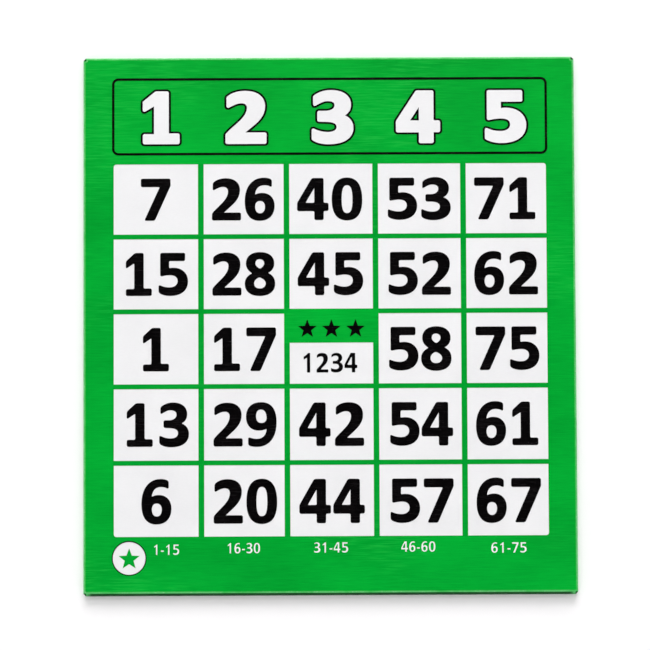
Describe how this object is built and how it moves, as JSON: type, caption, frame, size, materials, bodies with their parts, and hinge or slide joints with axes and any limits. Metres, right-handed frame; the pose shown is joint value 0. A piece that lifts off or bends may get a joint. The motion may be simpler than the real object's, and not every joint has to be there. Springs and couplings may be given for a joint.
{
  "type": "bingo card",
  "caption": "Flat hard card for playing bingo: grey board wrapped in a printed green sheet with a header band over a grid of white number cells, lined on the back.",
  "frame": {"origin": "middle of the flat back that the card rests on", "axes": "+Z out of the printed face, +Y from the foot of the print towards its header, +X to the right of someone who reads it"},
  "size_m": [0.184, 0.201, 0.0027],
  "materials": {
    "grey_board": "matte",
    "white_paper": "satin",
    "green_ink": "satin",
    "black_ink": "satin",
    "liner_paper": "matte"
  },
  "bodies": {
    "root": {"core_board": "grey_board", "face_sheet": "white_paper", "green_ink": "green_ink", "black_ink": "black_ink", "back_sheet": "liner_paper"}
  },
  "joints": []
}
